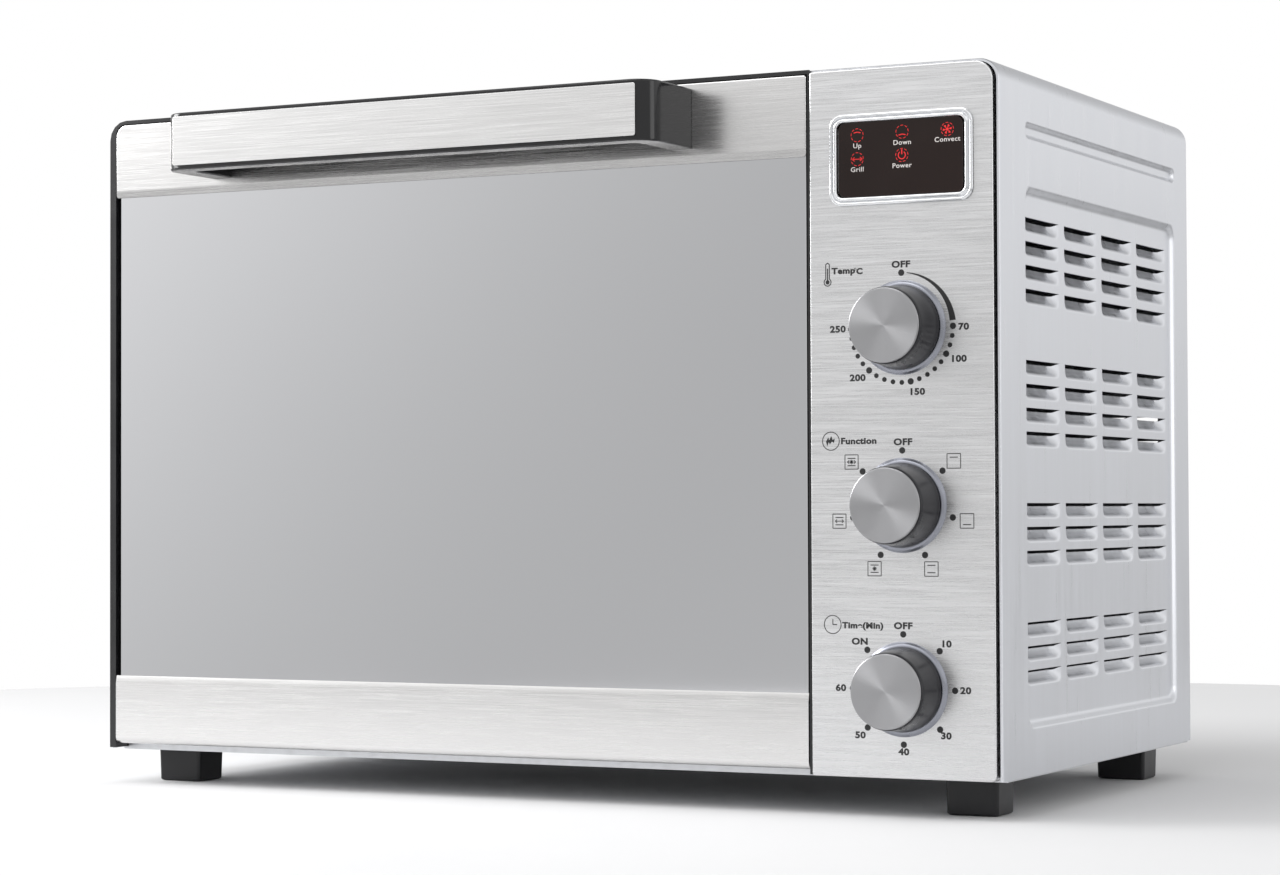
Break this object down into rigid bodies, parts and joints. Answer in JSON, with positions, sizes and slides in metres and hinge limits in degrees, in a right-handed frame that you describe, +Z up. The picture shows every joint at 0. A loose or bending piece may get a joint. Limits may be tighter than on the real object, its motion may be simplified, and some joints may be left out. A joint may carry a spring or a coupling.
{
  "type": "convection toaster oven",
  "caption": "Countertop convection oven with a mirrored drop-down door, bar handle, dial controls and louvred steel sides.",
  "frame": {"origin": "on the surface the feet stand on, under the middle of the whole object, handle and cord gland included", "axes": "+X to the right as seen from the front (towards the controls), +Y towards the back, +Z up; the door faces -Y"},
  "size_m": [0.54, 0.37, 0.3784],
  "materials": {
    "wrapper_steel": "satin",
    "panel_steel": "satin",
    "trim_steel": "satin",
    "frame_black": "gloss",
    "door_frame_black": "satin",
    "cavity_enamel": "satin",
    "door_mirror": "polished",
    "handle_black": "gloss",
    "knob_black": "satin",
    "knob_cap_metal": "satin",
    "bezel_chrome": "polished",
    "window_dark": "gloss",
    "board_green": "satin",
    "foot_black": "matte",
    "zinc_steel": "satin",
    "element_steel": "satin",
    "unit_black": "matte",
    "bulb_copper": "satin",
    "rack_chrome": "polished",
    "tray_enamel": "gloss",
    "crumb_aluminium": "satin",
    "gland_black": "satin"
  },
  "bodies": {
    "cabinet": {"outer_wrapper": "wrapper_steel", "control_panel": "panel_steel", "front_frame": "frame_black", "oven_cavity": "cavity_enamel", "display_bezel": "bezel_chrome", "display_window": "window_dark", "display_board": "board_green", "back_panel": "zinc_steel", "base_plate": "zinc_steel", "thermostat_bulb": "bulb_copper", "cord_gland": "gland_black", "convection_motor": "unit_black", "rotisserie_motor": "unit_black", "fan_guard": "zinc_steel", "spit_bracket": "zinc_steel", "temp_control": "unit_black", "function_control": "unit_black", "timer_control": "unit_black", "hinge_pin_left": "zinc_steel", "door_spring_left": "zinc_steel", "foot_front_left": "foot_black", "foot_screw_front_left": "zinc_steel", "foot_rear_left": "foot_black", "foot_screw_rear_left": "zinc_steel", "hinge_pin_right": "zinc_steel", "door_spring_right": "zinc_steel", "foot_front_right": "foot_black", "foot_screw_front_right": "zinc_steel", "foot_rear_right": "foot_black", "foot_screw_rear_right": "zinc_steel", "upper_element_front": "element_steel", "upper_element_rear": "element_steel", "lower_element_front": "element_steel", "lower_element_rear": "element_steel"},
    "door": {"door_inner_frame": "door_frame_black", "door_glass": "door_mirror", "door_top_trim": "trim_steel", "door_bottom_trim": "trim_steel", "handle": "handle_black", "handle_plate": "trim_steel", "handle_screw_left": "zinc_steel", "handle_screw_right": "zinc_steel", "door_stay_left": "zinc_steel", "door_stay_right": "zinc_steel"},
    "temp_dial": {"temp_knob": "knob_black", "temp_knob_cap": "knob_cap_metal", "temp_shaft": "zinc_steel"},
    "function_dial": {"function_knob": "knob_black", "function_knob_cap": "knob_cap_metal", "function_shaft": "zinc_steel"},
    "timer_dial": {"timer_knob": "knob_black", "timer_knob_cap": "knob_cap_metal", "timer_shaft": "zinc_steel"},
    "fan": {"fan_wheel": "zinc_steel"},
    "rotisserie_drive": {"rotisserie_coupling": "zinc_steel"},
    "rack": {"wire_rack": "rack_chrome"},
    "tray": {"baking_tray": "tray_enamel"},
    "crumb_drawer": {"crumb_tray": "crumb_aluminium"}
  },
  "joints": [
    {"name": "door_hinge", "type": "hinge", "parent": "cabinet", "child": "door", "pos_m": [-0.0495, -0.129, 0.0285], "axis": [1, 0, 0], "range_deg": [0, 84]},
    {"name": "temp_dial_turn", "type": "hinge", "parent": "cabinet", "child": "temp_dial", "pos_m": [0.2183, -0.136, 0.2455], "axis": [0, 1, 0], "range_deg": [0, 270]},
    {"name": "function_dial_turn", "type": "hinge", "parent": "cabinet", "child": "function_dial", "pos_m": [0.2183, -0.136, 0.1565], "axis": [0, 1, 0], "range_deg": [0, 308.57]},
    {"name": "timer_dial_turn", "type": "hinge", "parent": "cabinet", "child": "timer_dial", "pos_m": [0.2183, -0.136, 0.0646], "axis": [0, 1, 0], "range_deg": [-45, 270]},
    {"name": "fan_spin", "type": "hinge", "parent": "cabinet", "child": "fan", "pos_m": [0.138, 0.079, 0.2885], "axis": [1, 0, 0], "continuous": true},
    {"name": "rotisserie_spin", "type": "hinge", "parent": "cabinet", "child": "rotisserie_drive", "pos_m": [0.142, -0.001, 0.2], "axis": [1, 0, 0], "continuous": true},
    {"name": "wire_rack_slide", "type": "slide", "parent": "cabinet", "child": "rack", "axis": [0, -1, 0], "range_m": [0, 0.15]},
    {"name": "baking_tray_slide", "type": "slide", "parent": "cabinet", "child": "tray", "axis": [0, -1, 0], "range_m": [0, 0.1027]},
    {"name": "crumb_tray_slide", "type": "slide", "parent": "cabinet", "child": "crumb_drawer", "axis": [0, -1, 0], "range_m": [0, 0.0499]}
  ],
  "couplings": [
    {"joint": "wire_rack_slide", "follows": "door_hinge", "m_per_rad": 0.1023},
    {"joint": "baking_tray_slide", "follows": "door_hinge", "m_per_rad": 0.07},
    {"joint": "crumb_tray_slide", "follows": "door_hinge", "m_per_rad": 0.034}
  ]
}
